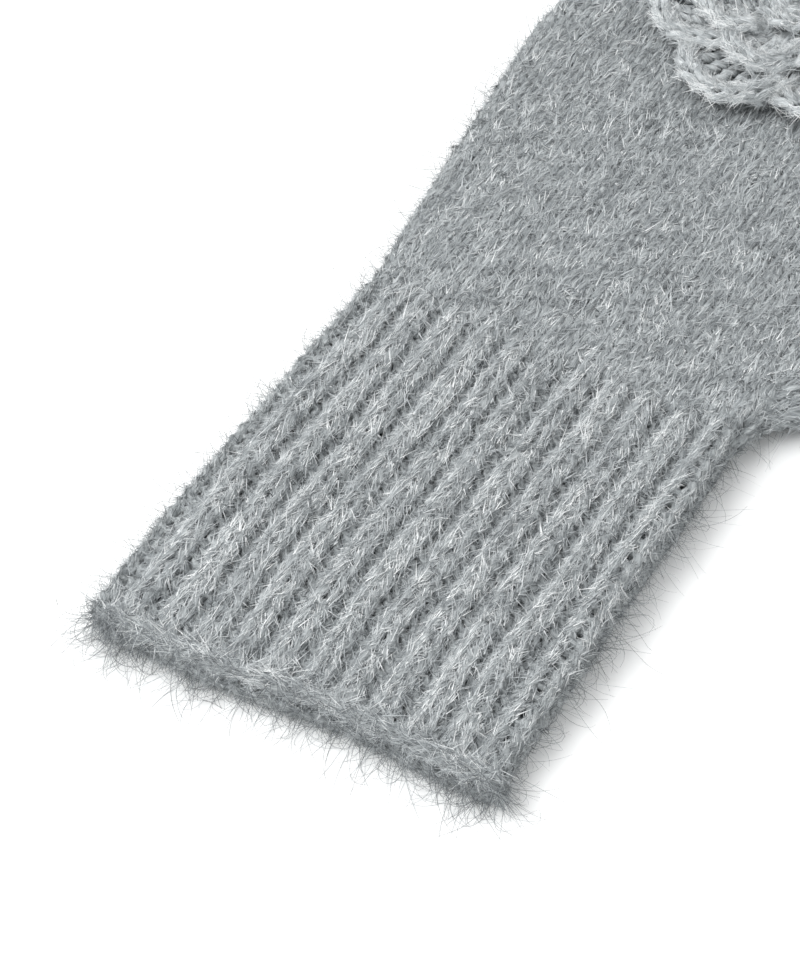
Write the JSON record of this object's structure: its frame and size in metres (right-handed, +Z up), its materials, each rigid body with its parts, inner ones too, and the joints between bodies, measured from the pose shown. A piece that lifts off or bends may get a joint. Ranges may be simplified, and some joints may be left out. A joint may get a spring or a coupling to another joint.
{
  "type": "knitted mittens",
  "caption": "Pair of soft knitted mittens with ribbed cuffs, gusseted thumbs and a crocheted flower on the back of each hand.",
  "frame": {"origin": "middle of the pair's footprint, on the surface that both mittens lie on", "axes": "+Y from the cuffs towards the fingertips, +Z up out of the backs of the hands, +X from the left mitten to the right one; each thumb points to the other mitten"},
  "size_m": [0.3792, 0.286, 0.024],
  "materials": {
    "rib_knit": "brushed heather-grey 1 by 1 rib, fuzzy",
    "plain_knit": "brushed heather-grey plain knit, fuzzy",
    "flower_yarn": "crocheted plied grey yarn, fuzzy",
    "sewing_yarn": "single strand of grey yarn"
  },
  "bodies": {
    "left_hand": {"left_hand": "plain_knit", "left_thumb_gusset": "plain_knit"},
    "left_cuff": {"left_cuff_ribbing": "rib_knit", "left_cuff_cast_off": "rib_knit", "left_cuff_yarn_end": "sewing_yarn"},
    "left_fingers": {"left_finger_pocket": "plain_knit", "left_tip_cinch": "sewing_yarn", "left_tip_yarn_end": "sewing_yarn", "left_flower_outer_petals": "flower_yarn", "left_flower_inner_petals": "flower_yarn", "left_flower_centre": "flower_yarn", "left_flower_stitches": "sewing_yarn"},
    "left_thumb": {"left_thumb": "plain_knit", "left_thumb_cinch": "sewing_yarn", "left_thumb_yarn_end": "sewing_yarn"},
    "right_hand": {"right_hand": "plain_knit", "right_thumb_gusset": "plain_knit"},
    "right_cuff": {"right_cuff_ribbing": "rib_knit", "right_cuff_cast_off": "rib_knit", "right_cuff_yarn_end": "sewing_yarn"},
    "right_fingers": {"right_finger_pocket": "plain_knit", "right_tip_cinch": "sewing_yarn", "right_tip_yarn_end": "sewing_yarn", "right_flower_outer_petals": "flower_yarn", "right_flower_inner_petals": "flower_yarn", "right_flower_centre": "flower_yarn", "right_flower_stitches": "sewing_yarn"},
    "right_thumb": {"right_thumb": "plain_knit", "right_thumb_cinch": "sewing_yarn", "right_thumb_yarn_end": "sewing_yarn"}
  },
  "joints": [
    {"name": "left_wrist_fold", "type": "hinge", "parent": "left_hand", "child": "left_cuff", "pos_m": [-0.1356, -0.0445, 0.013], "axis": [-1, 0, 0], "range_deg": [0, 75]},
    {"name": "left_finger_fold", "type": "hinge", "parent": "left_hand", "child": "left_fingers", "pos_m": [-0.1356, 0.0325, 0.013], "axis": [1, 0, 0], "range_deg": [0, 60]},
    {"name": "left_thumb_swing", "type": "hinge", "parent": "left_hand", "child": "left_thumb", "pos_m": [-0.06366, 0.00455, 0.0065], "axis": [0, 0, -1], "range_deg": [-8, 24]},
    {"name": "right_wrist_fold", "type": "hinge", "parent": "right_hand", "child": "right_cuff", "pos_m": [0.1356, -0.0445, 0.013], "axis": [-1, 0, 0], "range_deg": [0, 75]},
    {"name": "right_finger_fold", "type": "hinge", "parent": "right_hand", "child": "right_fingers", "pos_m": [0.1356, 0.0325, 0.013], "axis": [1, 0, 0], "range_deg": [0, 60]},
    {"name": "right_thumb_swing", "type": "hinge", "parent": "right_hand", "child": "right_thumb", "pos_m": [0.06366, 0.00455, 0.0065], "axis": [0, 0, 1], "range_deg": [-8, 24]},
    {"name": "right_mitten_shift", "type": "slide", "parent": "left_hand", "child": "right_hand", "axis": [1, 0, 0], "range_m": [0, 0.08]}
  ]
}
